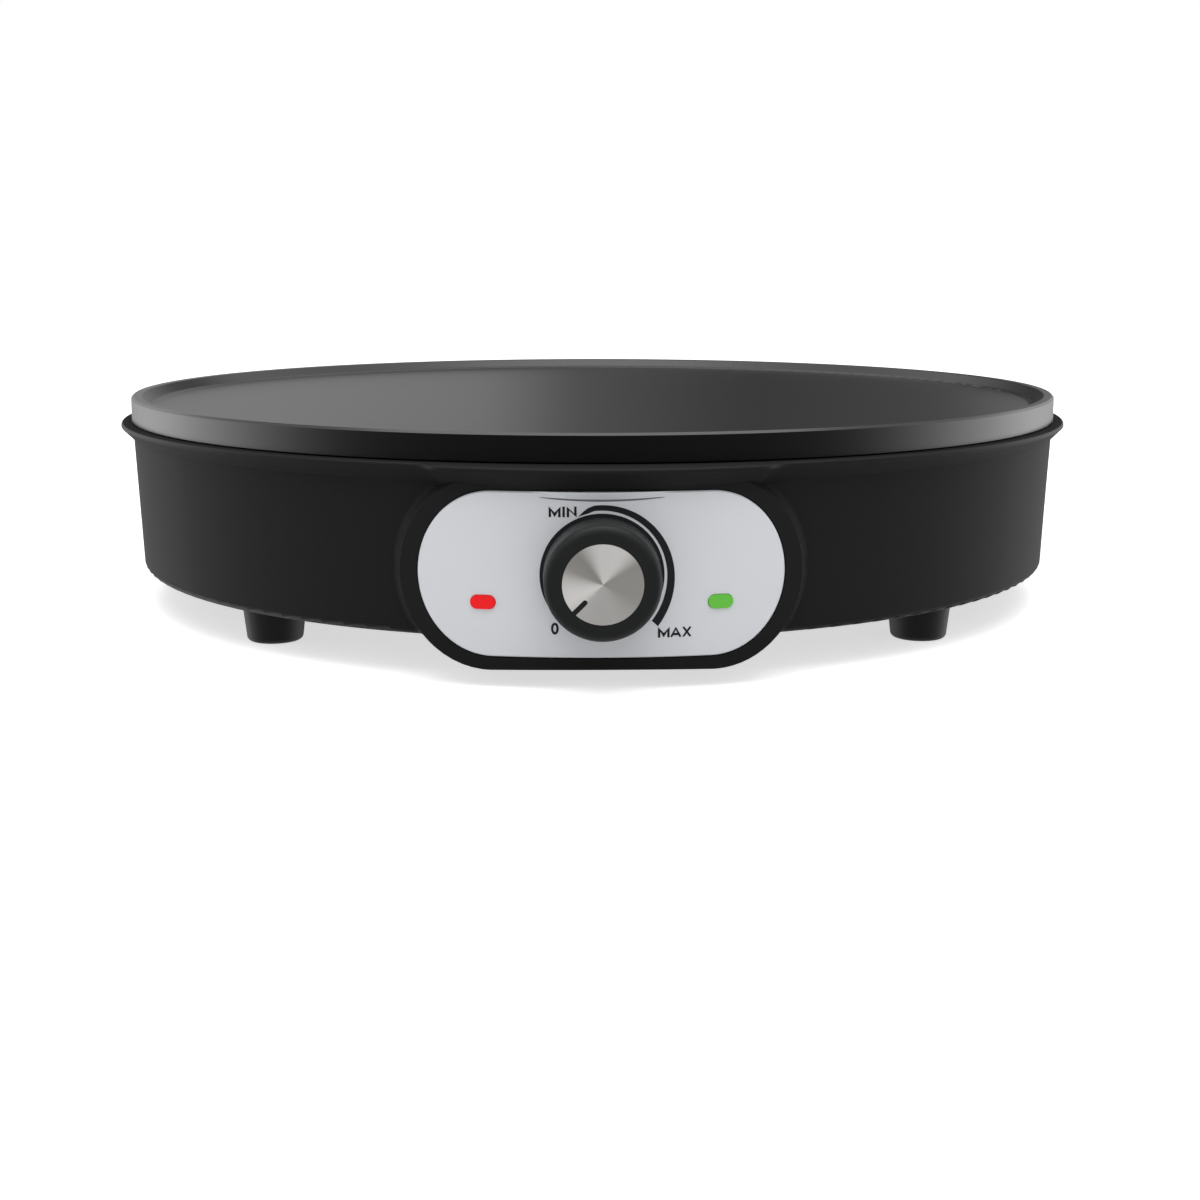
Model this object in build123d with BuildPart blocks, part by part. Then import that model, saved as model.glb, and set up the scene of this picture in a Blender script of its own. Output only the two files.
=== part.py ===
from build123d import *
import math
import os

# Electric crepe maker, in millimetres.
# The origin is the centre of the cooking surface, +Z is up and the control panel faces -Y.
# A "drop" is a depth below the cooking surface, and a "reach" is a distance from the plate's axis.

# Clearances
fit_gap = 0.3           # between pieces that are only laid or dropped together
screw_gap = 0.05        # radial, between a screw and the hole it bites in
strap_gap = 0.2         # between a straight strap and the bent piece it holds
shaft_gap = 0.05        # radial, between the turning shaft and its bush
root_overlap = 1.0      # how far ribs and webs run into what carries them
blind_room = 2.0        # how much deeper a tapped hole is than its screw
long_edge = 20.0        # shorter edges at the joins of the collar aren't rounded by themselves
touch = 0.01            # how near a corner or an edge counts as lying at a height

# Screw heads, as shares of the screw's radius or of the head itself
head_width = 1.9
head_height = 1.2
head_rounding = 0.45
slot_length = 1.7
slot_width = 0.5
slot_depth = 0.8

# Cooking plate
plate_radius = 160.0
plate_thickness = 3.8
rim_height = 3.2
rim_land = 3.4
rim_slope = 4.2
rim_bevel = 0.7
skirt_thickness = 3.4
skirt_drop = 4.8
rib_count = 12
rib_width = 2.0
rib_height = 1.2
cast_draft = 1.0

# Heating element and what clamps it
element_radius = 3.3
element_inset = 65.0        # its ring inside the plate's edge
element_ring_land = 7.0     # half width of the cast ring that the element lies in
element_ring_height = 4.4
element_gap_angle = 24.0
element_bend = 9.0
element_tail = 10.0
strap_thickness = 1.0
strap_width = 9.0
strap_foot = 7.0
strap_land = 1.5            # room beside a strap on its pad
strap_screw_radius = 1.5
strap_screw_length = 5.0
strap_count = 3
terminal_pin_radius = 1.6
terminal_pin_length = 3.0
tab_thickness = 0.8
tab_width = 6.3
tab_length = 8.0

# Plate mounting
boss_inset = 44.0
boss_count = 4
boss_radius = 6.0
boss_height = 14.0
washer_thickness = 3.0
plate_screw_radius = 2.0
plate_screw_grip = 9.0

# Reflector pan
sheet = 0.8
pan_inset = 7.1             # its rim inside the top of the wall
pan_rim = 11.5              # width of the rim
pan_slope = 13.0            # how far its side runs inwards
pan_side_gap = 1.3
pan_hole_room = 2.0
pan_screw_inset = 5.5
pan_screw_radius = 1.5
pan_screw_length = 8.0
pan_screw_count = 6
pan_boss_radius = 3.5
pan_boss_floor = 1.0        # plastic beyond the end of its hole
bush_wall = 1.8             # ceramic bushes round the element's ends
bush_flange = 1.5
bush_land = 1.5             # flange beyond the pan's hole
bush_nose = 3.0             # how far they stand out below the pan

# Housing
collar_overhang = 3.5       # collar beyond the plate
skirt_air_gap = 0.5
collar_edge = 1.3           # height of its upright edge
collar_bevel = 5.2          # 45 degree bevel below the edge
collar_edge_fillet = 0.9
wall = 2.6
wall_inset = 0.4            # its top inside the plate's edge
wall_lean = 2.3             # how much further in its foot is
housing_below = 19.65       # its foot below the knob's axis
foot_fillet = 2.0           # rounding of the wall's lower edge
shelf_step = 2.4            # inner shelf below the collar's top
shelf_thickness = 3.0
cover_screw_inset = 10.3
cover_screw_count = 6
cover_boss_radius = 4.0
cover_screw_radius = 1.5
cover_screw_head = 3.0
cover_screw_bite = 12.0
web_thickness = 1.8

# Control pod
pod_stand = 5.2             # how far its curved front stands out from the wall
pod_border = 3.4            # pod round the panel
pod_draft = 10.0
pod_blend = 2.4             # hollow fillet between pod and wall
lip_stand = 6.4             # how far the lip above the panel stands out from the collar
lip_tip_stand = 4.8         # the same at its ends, which gives its front its curve
lip_tip_half = 40.0
lip_root_half = 54.0
lip_depth = 21.9
lip_blend = 8.0
chin_blend = 9.0
chin_flat = 0.5             # how far the draft may lower the chin
bracket_pad_depth = 1.8     # flat pad behind the pod's wall for the thermostat's bracket
bracket_pad_half = 21.0
bracket_pad_height = 24.0
bracket_head_depth = 1.0    # flats of the bracket's screws, below the panel seat
bracket_head_radius = 3.5
lamp_gap = 0.1

# Control panel
panel_straight_half = 29.9
panel_end_radius = 20.4     # seen from the front
panel_height = 45.5
panel_drop = 34.85          # its centre, and the knob's axis
panel_thickness = 1.2
panel_proud = 0.2
panel_edge = 0.35
visor_half = 17.0           # half width of the crescent at the panel's top
visor_height = 2.1
visor_out = 1.2             # how far it stands out at the top
panel_pin_radius = 1.2
panel_pin_x = 41.0
panel_pin_rise = 8.0
panel_pin_length = 3.7

# Lamps
lamp_x = 32.3
lamp_drop = 42.6
lamp_length = 7.0
lamp_height = 3.8
lamp_proud = 0.4
lamp_cup_radius = 4.0
lamp_cup_wall = 1.2
lamp_cup_length = 10.0
neon_length = 13.0
neon_tip = 1.5              # rounding of a bulb's front end

# Thermostat and knob
shaft_radius = 3.0
shaft_flat = 0.9
shaft_flange_radius = 4.2   # inside the thermostat, so that the shaft can't be pulled out
shaft_flange = 1.4
shaft_in_body = 7.4
shaft_in_knob = 9.4
thermostat_width = 37.0
thermostat_height = 31.0
thermostat_depth = 21.0
thermostat_fillet = 1.5
capsule_radius = 9.0
capsule_depth = 3.0
nose_radius = 4.6
bracket_thickness = 1.0
bracket_flap = 10.0
bracket_screw_bite = 5.0
bracket_screw_spacing = 28.0
bracket_screw_radius = 1.9
knob_radius = 16.0
knob_length = 13.0
knob_wall = 1.9
knob_front = 3.4
knob_lift = 0.6             # dark gap between panel and knob
knob_edge_fillet = 2.2
knob_hub_radius = 6.0
knob_rib_count = 6
knob_rib_width = 1.4
knob_draft = 1.5
disc_radius = 10.8
disc_thickness = 0.8
pointer_width = 1.3
pointer_length = 4.7
pointer_angle = 225.0       # lower left, at 0 on the scale
clip_thickness = 0.6
clip_width = 3.5
clip_room = 1.5             # between the clip and the ribs behind it
clip_opening = 60.0

# Thermostat probe
probe_radius = 2.5
probe_length = 70.0
capillary_radius = 0.8
capillary_drop = 30.0       # where it runs forward to the thermostat
capillary_bend = 9.0
capillary_rise_reach = 58.0

# Bottom cover and feet
cover_thickness = 2.4
cover_rib_inset = 21.0      # its stiffening ring inside the circle of its screws
cover_rib_height = 4.0
foot_inset = 17.1
foot_top_radius = 9.8
foot_base_radius = 8.4
foot_height = 12.0
foot_edge_fillet = 1.6
foot_screw_radius = 1.7
foot_bore_radius = 3.9
foot_screw_seat = 5.0       # rubber between the cover and the screw's head
foot_screw_bite = 5.0
foot_pillar_radius = 6.5
foot_pillar_height = 8.0
vent_count = 12
vent_length = 20.0
vent_width = 3.0
vent_inner_radius = 52.0
vent_inset = 36.0           # its outer row inside the stiffening ring

# Cord gland
gland_drop = 38.0
gland_radius = 6.0
gland_flange_radius = 9.5
gland_flange = 2.0
gland_snap_radius = 7.2
gland_snap = 2.0
gland_snap_gap = 0.2
cord_bore_radius = 3.6
gland_pad_radius = 12.0
gland_pad_stand = 0.4
gland_pad_depth = 10.0
gland_pad_draft = 20.0

# Terminal block
block_length = 36.0
block_depth = 17.0
block_height = 15.0
block_inset = 14.0          # its middle inside the cover's stiffening ring
block_bore_radius = 1.8
block_screw_radius = 1.6
block_screw_spacing = 8.0
block_screw_sink = 1.0
block_slot_width = 0.6
block_slot_depth = 0.8
block_peg_radius = 1.9
block_peg_x = 5.5
pole_spacing = 11.0

# Thermal fuse
fuse_radius = 2.0
fuse_length = 18.0
fuse_x = 36.0
fuse_y = 20.0
fuse_lead_radius = 0.5
fuse_lead_length = 8.0
fuse_clip_width = 8.0

# Worked out from the above
surface_radius = plate_radius - rim_land - rim_slope
element_ring_radius = plate_radius - element_inset
boss_circle_radius = plate_radius - boss_inset
wall_top_radius = plate_radius - wall_inset
wall_foot_radius = wall_top_radius - wall_lean
housing_drop = panel_drop + housing_below
pan_rim_radius = wall_top_radius - pan_inset
pan_mouth_radius = pan_rim_radius - pan_rim
pan_floor_radius = pan_mouth_radius - pan_slope
pan_screw_circle_radius = pan_rim_radius - pan_screw_inset
shelf_inner_radius = pan_mouth_radius - sheet + pan_side_gap
element_drop = plate_thickness + element_ring_height
collar_radius = plate_radius + collar_overhang
collar_drop = skirt_drop + skirt_air_gap
shelf_drop = collar_drop + shelf_step
shelf_under = shelf_drop + shelf_thickness
boss_drop = plate_thickness + boss_height
pan_floor_drop = boss_drop + washer_thickness
cover_top_drop = housing_drop - cover_thickness
cover_radius = wall_foot_radius - wall - fit_gap
cover_screw_circle_radius = wall_foot_radius - cover_screw_inset
cover_rib_radius = cover_screw_circle_radius - cover_rib_inset
vent_outer_radius = cover_rib_radius - vent_inset
foot_reach = wall_foot_radius - foot_inset
block_reach = cover_rib_radius - block_inset
gland_pad_reach = wall_top_radius + gland_pad_stand
gland_snap_reach = wall_foot_radius - wall - gland_snap_gap
lip_reach = collar_radius + lip_stand
lip_sag = lip_reach - math.sqrt(collar_radius**2 - lip_tip_half**2) - lip_tip_stand
lip_curve = (lip_tip_half**2 + lip_sag**2) / (2 * lip_sag)
lip_root_reach = lip_reach - lip_depth
pod_reach = wall_top_radius + pod_stand
floor_drop = housing_drop + foot_height
panel_reach = pod_reach + panel_proud
seat_reach = panel_reach - panel_thickness
visor_sag = visor_out + panel_reach - math.sqrt(panel_reach**2 - visor_half**2)
visor_curve = (visor_half**2 + visor_sag**2) / (2 * visor_sag)
pod_inner_reach = pod_reach - wall
pin_root_reach = math.sqrt(pod_inner_reach**2 - panel_pin_x**2)
knob_base_reach = panel_reach + knob_lift
knob_front_reach = knob_base_reach + knob_length
chin_drop = panel_drop + panel_height / 2 + pod_border
probe_drop = plate_thickness + probe_radius
bracket_pad_reach = pod_inner_reach - bracket_pad_depth
bracket_head_reach = seat_reach - bracket_head_depth
body_front_reach = bracket_pad_reach - bracket_thickness
body_rear_reach = body_front_reach - thermostat_depth
shaft_inner_reach = body_front_reach - shaft_in_body
shaft_outer_reach = knob_base_reach + shaft_in_knob
lamp_angle = math.degrees(math.asin(lamp_x / pod_reach))
pod_half = panel_straight_half + panel_end_radius + pod_border
pod_depth = pod_reach - math.sqrt(wall_foot_radius**2 - pod_half**2) + 2 * wall

BOTTOM = (Align.CENTER, Align.CENTER, Align.MIN)
TOP = (Align.CENTER, Align.CENTER, Align.MAX)

os.makedirs("parts", exist_ok=True)


def level(drop):
    """A horizontal plane at this depth below the cooking surface."""
    return Plane.XY.offset(-drop)


def underside(drop):
    """The same plane seen from below: its holes run up from it, and its x axis points to -X."""
    return Plane(origin=(0, 0, -drop), x_dir=(-1, 0, 0), z_dir=(0, 0, -1))


def front(reach, drop=panel_drop):
    """A plane that faces the user, this far from the plate's axis, with its origin at this drop."""
    return Plane(origin=(0, -reach, -drop), x_dir=(1, 0, 0), z_dir=(0, -1, 0))


def save(builder, label):
    """Label a finished piece and write it as one STEP file."""
    builder.part.label = label
    export_step(builder.part, f"parts/{label}.step")


def pair(across):
    """Two places, this far on either side of the middle."""
    return [(-across, 0), (across, 0)]


def pan_screw(radius, length):
    """Slotted pan-head screw: its head stands above the origin and its shank points down."""
    head = radius * head_width
    rise = radius * head_height
    with BuildPart() as screw:
        Cylinder(radius, length, align=TOP)
        Cylinder(head, rise, align=BOTTOM)
        fillet(screw.edges().group_by(Axis.Z)[-1], rise * head_rounding)
        with Locations((0, 0, rise)):
            Box(head * slot_length, radius * slot_width, rise * slot_depth, mode=Mode.SUBTRACT)
    return screw.part


def countersunk_screw(radius, length, head):
    """Slotted countersunk screw: the flat of its head is at the origin and its shank points down."""
    with BuildPart() as screw:
        Cylinder(radius, length, align=TOP)
        Cone(radius, head, head - radius, align=TOP)
        Box(head * slot_length, radius * slot_width, head - radius, mode=Mode.SUBTRACT)
    return screw.part


def strap_screws(held_radius):
    """The places of a strap's two screws on either side of its middle."""
    return pair(held_radius + strap_thickness + strap_foot / 2)


def strap_half(held_radius):
    """Half the length of a strap, feet included."""
    return held_radius + strap_thickness + strap_foot


def strap(held_radius, width, lift=0.0):
    """Sheet-metal strap round a piece that lies along Y, this far below the plane of its feet, z = 0."""
    arch = held_radius + strap_gap
    with BuildPart() as piece:
        with BuildSketch(Plane.XZ):
            with Locations((0, -strap_thickness / 2)):
                Rectangle(2 * strap_half(held_radius), strap_thickness)
            with Locations((0, -lift)):
                Circle(arch + strap_thickness)
            if lift:
                with Locations((0, -lift / 2)):
                    Rectangle(2 * (arch + strap_thickness), lift)
                    Rectangle(2 * arch, lift, mode=Mode.SUBTRACT)
            with Locations((0, -lift)):
                Circle(arch, mode=Mode.SUBTRACT)
            with Locations((0, 2 * arch)):
                Rectangle(4 * arch, 4 * arch, mode=Mode.SUBTRACT)
        extrude(amount=width / 2, both=True)
        with Locations(*strap_screws(held_radius)):
            Hole(strap_screw_radius + screw_gap)
    return piece.part


def stadium(grow):
    """The panel's outline, with elliptical ends, grown evenly by this much."""
    with BuildSketch() as outline:
        Rectangle(2 * panel_straight_half, panel_height + 2 * grow)
        with Locations((panel_straight_half, 0), (-panel_straight_half, 0)):
            Ellipse(panel_end_radius + grow, panel_height / 2 + grow)
    return outline.sketch


def curved_plate(grow, inner_reach, outer_reach):
    """A plate of the panel's outline that is curved about the cooking plate's axis."""
    with BuildPart() as shell:
        with BuildSketch(front(outer_reach)):
            add(stadium(grow))
        extrude(amount=-pod_depth)
        Cylinder(outer_reach, 2 * floor_drop, mode=Mode.INTERSECT)
        Cylinder(inner_reach, 2 * floor_drop, mode=Mode.SUBTRACT)
    return shell.part


def lamp_plane(side, reach):
    """A plane square to the curved panel at the lamp on this side."""
    across = math.sin(math.radians(lamp_angle)) * side
    ahead = math.cos(math.radians(lamp_angle))
    middle = (across * reach, -ahead * reach, -lamp_drop)
    return Plane(origin=middle, x_dir=(ahead, across, 0), z_dir=(across, -ahead, 0))


# ---- Cooking plate
with BuildPart() as cooking_plate:
    with BuildSketch(Plane.XZ) as plate_profile:
        with BuildLine():
            Polyline(
                (0, 0),
                (surface_radius, 0),
                (surface_radius + rim_slope, rim_height),
                (plate_radius - rim_bevel, rim_height),
                (plate_radius, rim_height - rim_bevel),
                (plate_radius, -skirt_drop),
                (plate_radius - skirt_thickness, -skirt_drop),
                (plate_radius - skirt_thickness, -plate_thickness),
                (0, -plate_thickness),
                close=True,
            )
        make_face()
        on_surface = plate_profile.vertices().filter_by_position(Axis.Y, -touch, touch)
        fillet(on_surface.sort_by(Axis.X)[-1], rim_height)
        on_rim = plate_profile.vertices().filter_by_position(Axis.Y, rim_height - touch, rim_height + touch)
        fillet(on_rim.sort_by(Axis.X)[0], rim_height / 3)
    revolve(axis=Axis.Z)
    # Cast ring and pads that the element lies in
    with BuildSketch(level(plate_thickness)):
        Circle(element_ring_radius + element_ring_land)
        Circle(element_ring_radius - element_ring_land, mode=Mode.SUBTRACT)
        with PolarLocations(element_ring_radius, strap_count, start_angle=90):
            Rectangle(2 * strap_half(element_radius), strap_width + 2 * strap_land)
    extrude(amount=-element_ring_height)
    # Pad for the probe, bosses for the plate's screws and radial ribs
    with BuildSketch(level(plate_thickness)):
        Rectangle(2 * strap_half(probe_radius), strap_width + 2 * strap_land)
    extrude(amount=-probe_radius)
    with BuildSketch(level(plate_thickness)):
        with PolarLocations(boss_circle_radius, boss_count, start_angle=45):
            Circle(boss_radius)
    extrude(amount=-boss_height, taper=cast_draft)
    rib_start = element_ring_radius + element_ring_land - root_overlap
    rib_end = plate_radius - skirt_thickness + root_overlap
    with BuildSketch(level(plate_thickness)):
        with PolarLocations((rib_start + rib_end) / 2, rib_count, start_angle=15):
            Rectangle(rib_end - rib_start, rib_width)
    extrude(amount=-rib_height)
    # Groove for the element and seat for the probe
    with BuildSketch(Plane.XZ):
        with Locations((element_ring_radius, -element_drop)):
            Circle(element_radius + screw_gap)
    revolve(axis=Axis.Z, mode=Mode.SUBTRACT)
    with Locations(front(0, probe_drop)):
        Cylinder(probe_radius + screw_gap, probe_length + 2 * fit_gap, mode=Mode.SUBTRACT)
    # Screw holes, all from below
    with Locations(underside(boss_drop)):
        with PolarLocations(boss_circle_radius, boss_count, start_angle=45):
            Hole(plate_screw_radius + screw_gap, depth=plate_screw_grip + blind_room)
    with Locations(underside(element_drop)):
        with PolarLocations(element_ring_radius, strap_count, start_angle=90):
            with Locations(*strap_screws(element_radius)):
                Hole(strap_screw_radius + screw_gap, depth=strap_screw_length - strap_thickness + fit_gap)
    with Locations(underside(probe_drop)):
        with Locations(*strap_screws(probe_radius)):
            Hole(strap_screw_radius + screw_gap, depth=strap_screw_length - strap_thickness + fit_gap)
save(cooking_plate, "cooking_plate")

# ---- Heating element: a ring whose two ends turn down through the pan
with BuildPart() as heating_element:
    with BuildLine() as element_path:
        ring = CenterArc(
            (0, 0, -element_drop), element_ring_radius, -90 + element_gap_angle / 2, 360 - element_gap_angle
        )
        first = ring @ 0 - ring % 0 * element_bend - Vector(0, 0, element_bend)
        last = ring @ 1 + ring % 1 * element_bend - Vector(0, 0, element_bend)
        TangentArc(ring @ 0, first, tangent=ring % 0 * -1)
        TangentArc(ring @ 1, last, tangent=ring % 1)
        Line(first, first - Vector(0, 0, element_tail))
        Line(last, last - Vector(0, 0, element_tail))
    tail_plane = Plane(origin=first - Vector(0, 0, element_tail), z_dir=(0, 0, 1))
    with BuildSketch(tail_plane):
        Circle(element_radius)
    sweep(path=element_path.wires()[0])
save(heating_element, "heating_element")
tail_drop = element_drop + element_bend + element_tail

with BuildPart() as element_terminals:
    for end in (first, last):
        with Locations((end.X, end.Y, -tail_drop)):
            Cylinder(terminal_pin_radius, terminal_pin_length, align=TOP)
            with Locations((0, 0, -terminal_pin_length)):
                Box(tab_thickness, tab_width, tab_length, align=TOP)
save(element_terminals, "element_terminals")

with BuildPart() as element_clamps:
    with Locations(level(element_drop)):
        with PolarLocations(element_ring_radius, strap_count, start_angle=90):
            add(strap(element_radius, strap_width))
save(element_clamps, "element_clamps")

strap_screw = pan_screw(strap_screw_radius, strap_screw_length)
with BuildPart() as clamp_screws:
    with Locations(underside(element_drop + strap_thickness)):
        with PolarLocations(element_ring_radius, strap_count, start_angle=90):
            with Locations(*strap_screws(element_radius)):
                add(strap_screw)
    with Locations(underside(probe_drop + strap_thickness)):
        with Locations(*strap_screws(probe_radius)):
            add(strap_screw)
    with Locations(underside(pan_floor_drop + sheet + strap_thickness)):
        with Locations((-fuse_x, fuse_y)):
            with Locations(*strap_screws(fuse_radius)):
                add(strap_screw)
save(clamp_screws, "clamp_screws")

# ---- Reflector pan, on the housing's shelf
with BuildPart() as reflector_pan:
    with BuildSketch(Plane.XZ) as pan_profile:
        with BuildLine():
            Polyline(
                (0, -pan_floor_drop - sheet),
                (pan_floor_radius, -pan_floor_drop - sheet),
                (pan_mouth_radius - sheet, -shelf_drop),
                (pan_rim_radius, -shelf_drop),
                (pan_rim_radius, -shelf_drop + sheet),
                (pan_mouth_radius - 2 * sheet, -shelf_drop + sheet),
                (pan_floor_radius - sheet, -pan_floor_drop),
                (0, -pan_floor_drop),
                close=True,
            )
        make_face()
    revolve(axis=Axis.Z)
    with Locations(level(pan_floor_drop)):
        with PolarLocations(boss_circle_radius, boss_count, start_angle=45):
            Hole(plate_screw_radius + fit_gap)
        with Locations((first.X, first.Y), (last.X, last.Y)):
            Hole(element_radius + pan_hole_room)
        with Locations((0, -capillary_rise_reach)):
            Hole(capillary_radius + pan_hole_room)
    with Locations(level(shelf_drop)):
        with PolarLocations(pan_screw_circle_radius, pan_screw_count, start_angle=30):
            Hole(pan_screw_radius + fit_gap)
    with Locations(underside(pan_floor_drop + sheet)):
        with Locations((-fuse_x, fuse_y)):
            with Locations(*strap_screws(fuse_radius)):
                Hole(strap_screw_radius + screw_gap)
save(reflector_pan, "reflector_pan")

with BuildPart() as ceramic_washers:
    with BuildSketch(level(pan_floor_drop)):
        with PolarLocations(boss_circle_radius, boss_count, start_angle=45):
            Circle(boss_radius)
            Circle(plate_screw_radius + fit_gap, mode=Mode.SUBTRACT)
    extrude(amount=washer_thickness)
save(ceramic_washers, "ceramic_washers")

with BuildPart() as plate_screws:
    with Locations(underside(pan_floor_drop + sheet)):
        with PolarLocations(boss_circle_radius, boss_count, start_angle=45):
            add(pan_screw(plate_screw_radius, plate_screw_grip + washer_thickness + sheet))
save(plate_screws, "plate_screws")

with BuildPart() as pan_screws:
    with Locations(level(shelf_drop - sheet)):
        with PolarLocations(pan_screw_circle_radius, pan_screw_count, start_angle=30):
            add(pan_screw(pan_screw_radius, pan_screw_length))
save(pan_screws, "pan_screws")

with BuildPart() as ceramic_bushes:
    for end in (first, last):
        with Locations((end.X, end.Y, -pan_floor_drop)):
            Cylinder(element_radius + pan_hole_room + bush_land, bush_flange, align=BOTTOM)
            Cylinder(element_radius + bush_wall, sheet + bush_nose, align=TOP)
            Cylinder(element_radius + screw_gap, 2 * element_tail, mode=Mode.SUBTRACT)
save(ceramic_bushes, "ceramic_bushes")


# ---- Housing
def front_pod(inset, top_drop):
    """The control pod as a solid boss, or its hollow: rounded like the panel, with a curved front."""
    height = chin_drop + chin_flat - inset - top_drop
    with BuildPart() as pod:
        with BuildSketch(front(pod_reach)):
            add(stadium(pod_border - inset))
        extrude(amount=-pod_depth, taper=-pod_draft)
        with Locations(level(top_drop)):
            Cylinder(pod_reach - inset, height, align=TOP, mode=Mode.INTERSECT)
    return pod.part


chin_root_rise = foot_fillet - housing_below
with BuildPart() as chin_back:
    with BuildSketch(front(0)) as silhouette:
        with Locations((0, chin_root_rise)):
            Rectangle(4 * panel_straight_half, wall, align=(Align.CENTER, Align.MIN))
        add(stadium(pod_border))
        corners = silhouette.vertices()
        at_root = corners.filter_by_position(Axis.Y, chin_root_rise - touch, chin_root_rise + touch)
        fillet(at_root.sort_by(Axis.X)[1:-1], chin_blend)
        with Locations((0, chin_root_rise + wall)):
            Rectangle(4 * pod_half, 2 * housing_drop, align=(Align.CENTER, Align.MIN), mode=Mode.SUBTRACT)
    extrude(amount=2 * plate_radius)
    with Locations(level(chin_drop + chin_flat)):
        Cylinder(wall_foot_radius, housing_drop, align=BOTTOM, mode=Mode.INTERSECT)

with BuildPart() as pod_hollow:
    add(front_pod(wall, shelf_under))
    with Locations(level(housing_drop - wall)):
        Cylinder(wall_foot_radius, chin_drop, align=TOP, mode=Mode.SUBTRACT)

with BuildPart() as housing:
    # Collar: a round plate with the lip of the pod, and a bevel all the way round
    with BuildSketch(level(collar_drop)) as collar_plan:
        with BuildLine():
            Polyline(
                (-lip_tip_half, -lip_reach),
                (lip_tip_half, -lip_reach),
                (lip_root_half, -lip_root_reach),
                (-lip_root_half, -lip_root_reach),
                close=True,
            )
        make_face()
        with Locations((0, lip_curve - lip_reach)):
            Circle(lip_curve, mode=Mode.INTERSECT)
        Circle(collar_radius)
        fillet(collar_plan.vertices().sort_by(Axis.Y)[:4], lip_blend)
    extrude(amount=-collar_edge)
    with BuildSketch(level(collar_drop + collar_edge)):
        add(collar_plan.sketch)
    extrude(amount=-collar_bevel, taper=45)
    # Wall, pod and the pad that the cord gland sits on
    with BuildSketch(Plane.XZ) as wall_profile:
        with BuildLine():
            Polyline(
                (0, -shelf_drop),
                (wall_top_radius, -shelf_drop),
                (wall_foot_radius, -housing_drop),
                (0, -housing_drop),
                close=True,
            )
        make_face()
        fillet(wall_profile.vertices().group_by(Axis.Y)[0].sort_by(Axis.X)[-1], foot_fillet)
    revolve(axis=Axis.Z)
    add(front_pod(0, collar_drop + collar_edge))
    add(chin_back.part)
    beside_pod = [
        edge for edge in housing.edges()
        if edge.center().Y < -lip_root_reach + wall and edge.length > 5 * wall
        and wall_foot_radius - root_overlap < math.hypot(edge.center().X, edge.center().Y) < wall_top_radius
        and pod_half - wall < abs(edge.center().X) < pod_half + wall
    ]
    fillet(beside_pod, pod_blend)
    with BuildSketch(front(-gland_pad_reach, gland_drop)):
        Circle(gland_pad_radius)
    extrude(amount=gland_pad_depth, taper=-gland_pad_draft)
    # Hollow
    with BuildSketch(Plane.XZ):
        with BuildLine():
            Polyline(
                (0, -shelf_under),
                (wall_top_radius - wall, -shelf_under),
                (wall_foot_radius - wall, -housing_drop),
                (wall_foot_radius - wall, -floor_drop),
                (0, -floor_drop),
                close=True,
            )
        make_face()
    revolve(axis=Axis.Z, mode=Mode.SUBTRACT)
    add(pod_hollow.part, mode=Mode.SUBTRACT)
    with BuildSketch(front(bracket_pad_reach)):
        Rectangle(2 * bracket_pad_half, bracket_pad_height)
    extrude(amount=bracket_head_reach - bracket_pad_reach)
    with BuildSketch(level(shelf_drop)):
        Circle(pan_rim_radius + fit_gap)
    extrude(amount=shelf_step, mode=Mode.SUBTRACT)
    with BuildSketch(level(shelf_under)):
        Circle(shelf_inner_radius)
    extrude(amount=shelf_under, mode=Mode.SUBTRACT)
    # Bosses for the cover's screws, with webs to the wall, and for the pan's screws
    with BuildSketch(level(shelf_under)):
        with PolarLocations(cover_screw_circle_radius, cover_screw_count):
            Circle(cover_boss_radius)
        web_end = wall_foot_radius - fit_gap
        with PolarLocations((cover_screw_circle_radius + web_end) / 2, cover_screw_count):
            Rectangle(web_end - cover_screw_circle_radius, web_thickness)
    extrude(amount=-(cover_top_drop - shelf_under))
    with BuildSketch(level(shelf_under)):
        with PolarLocations(pan_screw_circle_radius, pan_screw_count, start_angle=30):
            Circle(pan_boss_radius)
    extrude(amount=shelf_thickness - pan_screw_length - pan_boss_floor)
    with Locations(underside(cover_top_drop)):
        with PolarLocations(cover_screw_circle_radius, cover_screw_count):
            Hole(cover_screw_radius + screw_gap, depth=cover_screw_bite + fit_gap)
    with Locations(level(shelf_drop)):
        with PolarLocations(pan_screw_circle_radius, pan_screw_count, start_angle=30):
            Hole(pan_screw_radius + screw_gap, depth=pan_screw_length)
    # Panel seat, with holes for the nose of the thermostat, the panel's pins, the screws and the lamps
    add(curved_plate(fit_gap, seat_reach, pod_reach + wall), mode=Mode.SUBTRACT)
    with Locations(front(bracket_pad_reach)):
        Cylinder(nose_radius + fit_gap, 2 * wall, align=BOTTOM, mode=Mode.SUBTRACT)
    with Locations(front(pin_root_reach)):
        with GridLocations(2 * panel_pin_x, 2 * panel_pin_rise, 2, 2):
            Cylinder(panel_pin_radius + lamp_gap, 3 * wall, mode=Mode.SUBTRACT)
    with Locations(front(bracket_head_reach)):
        with Locations(*pair(bracket_screw_spacing / 2)):
            CounterSinkHole(
                bracket_screw_radius + screw_gap,
                bracket_head_radius + screw_gap,
                depth=bracket_head_reach - bracket_pad_reach,
                counter_sink_angle=90,
            )
            Cylinder(bracket_head_radius + screw_gap, wall, align=BOTTOM, mode=Mode.SUBTRACT)
    for side in (-1, 1):
        with BuildSketch(lamp_plane(side, pod_inner_reach)):
            SlotOverall(lamp_length + 2 * lamp_gap, lamp_height + 2 * lamp_gap)
        extrude(amount=wall, both=True, mode=Mode.SUBTRACT)
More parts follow.
